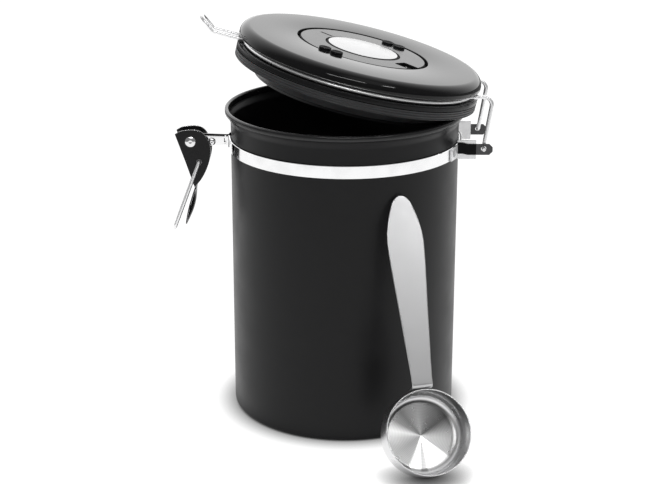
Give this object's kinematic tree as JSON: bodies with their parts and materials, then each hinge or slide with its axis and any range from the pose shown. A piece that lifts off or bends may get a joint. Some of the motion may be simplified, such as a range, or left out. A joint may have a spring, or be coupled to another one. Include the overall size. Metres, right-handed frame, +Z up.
{
  "type": "coffee canister",
  "caption": "Round steel food canister with a hinged clamp lid on a wire bail, over-centre latch, turning date dial and a leaning measuring scoop",
  "frame": {"origin": "centre of the canister's base on the surface it stands on", "axes": "+Z up along the canister's axis, +X towards the lid hinge, -X towards the latch, -Y towards the scoop and the viewer"},
  "size_m": [0.1737, 0.1837, 0.2216],
  "materials": {
    "canister_body": "semi-gloss black enamel",
    "neck_strap": "bright rolled strip",
    "clamp_rivet": "bright",
    "lever_pivot_rivet": "bright",
    "pivot_washer_front": "plain",
    "pivot_washer_rear": "plain",
    "hinge_bracket": "pressed strip",
    "latch_lever": "satin black",
    "latch_loop": "bright wire",
    "bail_wire": "bright wire",
    "lid_cover": "glossy black",
    "lid_base": "black",
    "lid_gasket": "smoke-grey silicone",
    "number_wheel": "dark with light numbers",
    "date_dial": "glossy black",
    "dial_hub": "glossy black",
    "badge_disc": "bright, bare",
    "valve_disc": "pale silicone",
    "valve_cap": "black",
    "scoop_bowl": "turned inside, bright rim",
    "scoop_handle": "satin"
  },
  "bodies": {
    "canister": {"canister_body": "canister_body", "neck_strap": "neck_strap", "clamp_rivet": "clamp_rivet", "lever_pivot_rivet": "lever_pivot_rivet", "pivot_washer_front": "pivot_washer_front", "pivot_washer_rear": "pivot_washer_rear", "hinge_bracket": "hinge_bracket"},
    "lid": {"bail_wire": "bail_wire", "lid_cover": "lid_cover", "lid_base": "lid_base", "lid_gasket": "lid_gasket", "number_wheel": "number_wheel", "dial_hub": "dial_hub", "badge_disc": "badge_disc", "valve_disc": "valve_disc", "valve_cap": "valve_cap"},
    "dial": {"date_dial": "date_dial"},
    "lever": {"latch_lever": "latch_lever"},
    "loop": {"latch_loop": "latch_loop"},
    "scoop": {"scoop_bowl": "scoop_bowl", "scoop_handle": "scoop_handle"}
  },
  "joints": [
    {"name": "lid_hinge", "type": "hinge", "parent": "canister", "child": "lid", "pos_m": [0.0742, 0, 0.1532], "axis": [0, 1, 0], "range_deg": [-13.15, 180]},
    {"name": "date_dial_turn", "type": "hinge", "parent": "lid", "child": "dial", "pos_m": [0.00964, 0, 0.203], "axis": [0.2275, 0, 0.9738], "continuous": true},
    {"name": "latch_lever_turn", "type": "hinge", "parent": "canister", "child": "lever", "pos_m": [-0.0839, 0, 0.152], "axis": [0, 1, 0], "range_deg": [-15, 125]},
    {"name": "latch_loop_turn", "type": "hinge", "parent": "lever", "child": "loop", "pos_m": [-0.0794, 0, 0.1407], "axis": [0, 1, 0], "range_deg": [-21, 165]},
    {"name": "scoop_lift", "type": "slide", "parent": "canister", "child": "scoop", "axis": [0, -0.7071, 0.7071], "range_m": [0, 0.15]}
  ]
}
